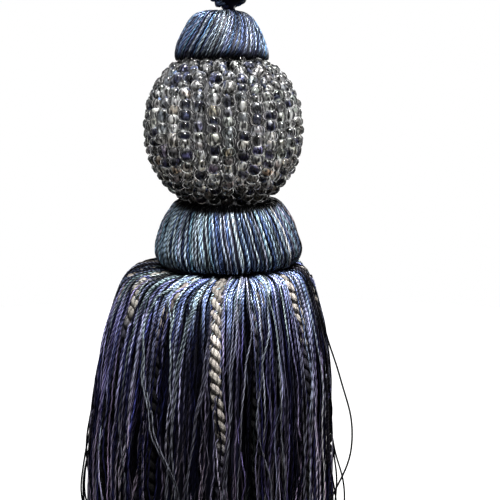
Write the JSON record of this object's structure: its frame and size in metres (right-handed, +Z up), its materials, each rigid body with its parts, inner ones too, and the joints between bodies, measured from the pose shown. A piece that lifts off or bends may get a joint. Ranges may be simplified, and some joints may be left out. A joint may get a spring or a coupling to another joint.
{
  "type": "beaded tassel",
  "caption": "Navy key tassel: a knotted hanging loop, thread-wrapped cap and collar either side of a ball of glass beads, and a cut skirt of fine threads and twisted beige cords.",
  "frame": {"origin": "the inside of the hanging loop's top, where the loop goes over whatever holds the tassel", "axes": "+Z up, against the pull of the tassel, which hangs along -Z; -Y is the front, +X to the right as seen from the front"},
  "size_m": [0.0579, 0.058, 0.2168],
  "materials": {
    "hanging_cord": "dark navy twisted rayon cord, soft sheen",
    "blue_thread": "shiny twisted rayon threads laid side by side, slate blue, navy and aqua mixed",
    "glass_beads": "clear and smoky glass seed beads, some lined dark navy, polished",
    "bead_core": "dark navy thread and lining inside and behind the beads, dull",
    "skirt_thread": "fine two-ply rayon threads, navy, black-blue and pale aqua mixed, silky",
    "beige_cord": "two-ply twisted cotton cord, beige and grey, matt"
  },
  "bodies": {
    "root": {"hanger_loop": "hanging_cord", "hanger_knot": "hanging_cord", "hanger_neck": "hanging_cord", "upper_cap": "blue_thread", "bead_ball": "glass_beads", "lower_collar": "blue_thread", "skirt": "skirt_thread", "skirt_cord_01": "beige_cord", "skirt_cord_02": "beige_cord", "skirt_cord_03": "beige_cord", "skirt_cord_04": "beige_cord", "skirt_cord_05": "beige_cord", "skirt_cord_06": "beige_cord", "skirt_cord_07": "beige_cord", "skirt_cord_08": "beige_cord", "skirt_cord_09": "beige_cord", "skirt_cord_10": "beige_cord", "skirt_cord_11": "beige_cord", "skirt_cord_12": "beige_cord", "skirt_cord_13": "beige_cord"}
  },
  "joints": []
}
